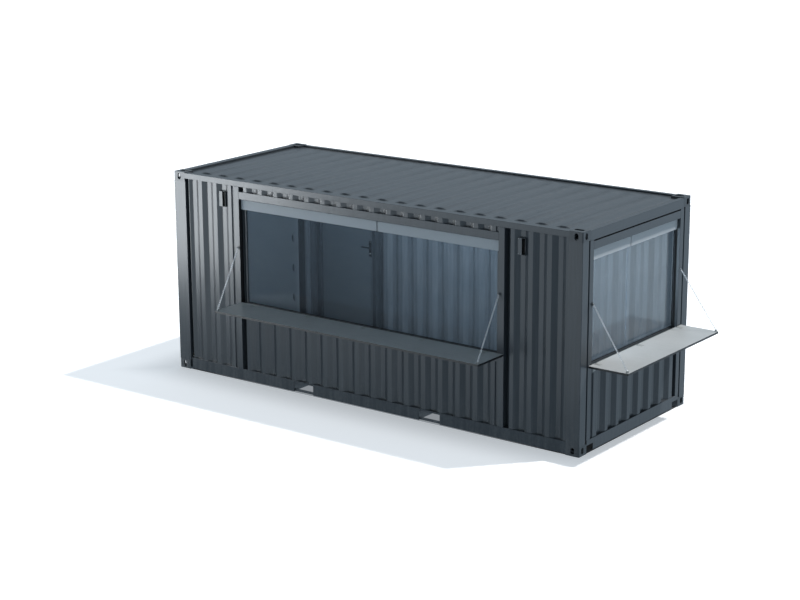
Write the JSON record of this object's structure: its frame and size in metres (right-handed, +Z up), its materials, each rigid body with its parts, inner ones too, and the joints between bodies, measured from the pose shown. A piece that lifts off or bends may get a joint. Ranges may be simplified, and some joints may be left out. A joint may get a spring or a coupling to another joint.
{
  "type": "shipping container cabin",
  "caption": "Steel freight container made into a serving cabin: glazing along the side and across the end, fold-down counters held by chains, and a rear door.",
  "frame": {"origin": "on the ground, under the centre of the box that holds the cabin with both counters down", "axes": "+X along the length towards the glazed end, -Y out of the long window side, +Z up"},
  "size_m": [6.57, 2.99, 2.591],
  "materials": {
    "paint": "anthracite container paint, semi-gloss",
    "lock_gear": "anthracite paint over galvanised bar",
    "plywood": "varnished marine plywood",
    "glass": "clear toughened glass",
    "head_rail": "natural anodised, satin",
    "track": "anthracite anodised, satin",
    "counter_board": "light grey compact laminate, satin",
    "zinc": "bright zinc plate",
    "black_fitting": "black, satin"
  },
  "bodies": {
    "cabin": {"back_door_head": "paint", "back_door_hinge_pintles": "paint", "back_door_jambs": "paint", "back_wall_left": "paint", "back_wall_main": "paint", "back_wall_over_door": "paint", "bottom_corner_castings": "paint", "bottom_end_rails": "paint", "bottom_side_rails": "paint", "cargo_door_hinges": "paint", "cargo_door_levers": "lock_gear", "cargo_door_locking_bars": "lock_gear", "cargo_doors": "paint", "chain_anchors": "zinc", "corner_posts": "paint", "end_counter_hinge_lugs": "paint", "end_wall_under_window": "paint", "end_window_bars": "paint", "end_window_stiles": "paint", "floor_cross_members": "paint", "floor_deck": "plywood", "fork_pockets": "paint", "front_counter_hinge_lugs": "paint", "front_wall_left": "paint", "front_wall_over_window": "paint", "front_wall_right": "paint", "front_wall_under_window": "paint", "front_window_bars": "paint", "front_window_stiles": "paint", "roof_panel": "paint", "top_corner_castings": "paint", "top_end_rails": "paint", "top_side_rails": "paint", "wall_vents": "paint", "window_glass": "glass", "window_head_rails": "head_rail", "window_tracks": "track"},
    "front_counter": {"front_counter_top": "counter_board", "front_counter_straps": "zinc"},
    "end_counter": {"end_counter_top": "counter_board", "end_counter_straps": "zinc"},
    "back_door": {"back_door_leaf": "paint", "back_door_handles": "black_fitting", "back_door_hinge_leaves": "paint"},
    "front_chain_left_upper": {"front_chain_left_upper": "zinc"},
    "front_chain_left_lower": {"front_chain_left_lower": "zinc"},
    "front_chain_right_upper": {"front_chain_right_upper": "zinc"},
    "front_chain_right_lower": {"front_chain_right_lower": "zinc"},
    "end_chain_near_upper": {"end_chain_near_upper": "zinc"},
    "end_chain_near_lower": {"end_chain_near_lower": "zinc"},
    "end_chain_far_upper": {"end_chain_far_upper": "zinc"},
    "end_chain_far_lower": {"end_chain_far_lower": "zinc"}
  },
  "joints": [
    {"name": "front_counter_hinge", "type": "hinge", "parent": "cabin", "child": "front_counter", "pos_m": [-0.256, -1.015, 1.036], "axis": [-1, 0, 0], "range_deg": [0, 90]},
    {"name": "end_counter_hinge", "type": "hinge", "parent": "cabin", "child": "end_counter", "pos_m": [2.805, 0.236, 1.036], "axis": [0, -1, 0], "range_deg": [0, 90]},
    {"name": "back_door_hinge", "type": "hinge", "parent": "cabin", "child": "back_door", "pos_m": [-2.811, 1.467, 1], "axis": [0, 0, 1], "range_deg": [0, 105]},
    {"name": "front_chain_left_anchor_pivot", "type": "hinge", "parent": "cabin", "child": "front_chain_left_upper", "pos_m": [-2.223, -0.997, 1.738], "axis": [0.9956, 0.0942, 0], "range_deg": [0, 34.7]},
    {"name": "front_chain_left_eye_pivot", "type": "hinge", "parent": "front_counter", "child": "front_chain_left_lower", "pos_m": [-2.167, -1.471, 1.05], "axis": [-0.9987, 0, -0.0517], "range_deg": [0, 55.49]},
    {"name": "front_chain_right_anchor_pivot", "type": "hinge", "parent": "cabin", "child": "front_chain_right_upper", "pos_m": [1.687, -0.997, 1.738], "axis": [0.9986, 0.0523, 0], "range_deg": [0, 34.62]},
    {"name": "front_chain_right_eye_pivot", "type": "hinge", "parent": "front_counter", "child": "front_chain_right_lower", "pos_m": [1.723, -1.471, 1.05], "axis": [-0.9997, 0, -0.0228], "range_deg": [0, 55.46]},
    {"name": "end_chain_near_anchor_pivot", "type": "hinge", "parent": "cabin", "child": "end_chain_near_upper", "pos_m": [2.787, -0.766, 1.738], "axis": [0.0418, 0.9991, 0], "range_deg": [0, 34.61]},
    {"name": "end_chain_near_eye_pivot", "type": "hinge", "parent": "end_counter", "child": "end_chain_near_lower", "pos_m": [3.261, -0.797, 1.05], "axis": [0, -0.9999, 0.0155], "range_deg": [0, 55.46]},
    {"name": "end_chain_far_anchor_pivot", "type": "hinge", "parent": "cabin", "child": "end_chain_far_upper", "pos_m": [2.787, 1.238, 1.738], "axis": [-0.0523, 0.9986, 0], "range_deg": [0, 34.62]},
    {"name": "end_chain_far_eye_pivot", "type": "hinge", "parent": "end_counter", "child": "end_chain_far_lower", "pos_m": [3.261, 1.274, 1.05], "axis": [0, -0.9997, -0.0228], "range_deg": [0, 55.46]}
  ],
  "couplings": [
    {"joint": "front_chain_left_anchor_pivot", "follows": "front_counter_hinge", "ratio": 0.38538},
    {"joint": "front_chain_left_eye_pivot", "follows": "front_counter_hinge", "ratio": 0.61634},
    {"joint": "front_chain_right_anchor_pivot", "follows": "front_counter_hinge", "ratio": 0.38446},
    {"joint": "front_chain_right_eye_pivot", "follows": "front_counter_hinge", "ratio": 0.61602},
    {"joint": "end_chain_near_anchor_pivot", "follows": "end_counter_hinge", "ratio": 0.38432},
    {"joint": "end_chain_near_eye_pivot", "follows": "end_counter_hinge", "ratio": 0.61598},
    {"joint": "end_chain_far_anchor_pivot", "follows": "end_counter_hinge", "ratio": 0.38446},
    {"joint": "end_chain_far_eye_pivot", "follows": "end_counter_hinge", "ratio": 0.61602}
  ]
}
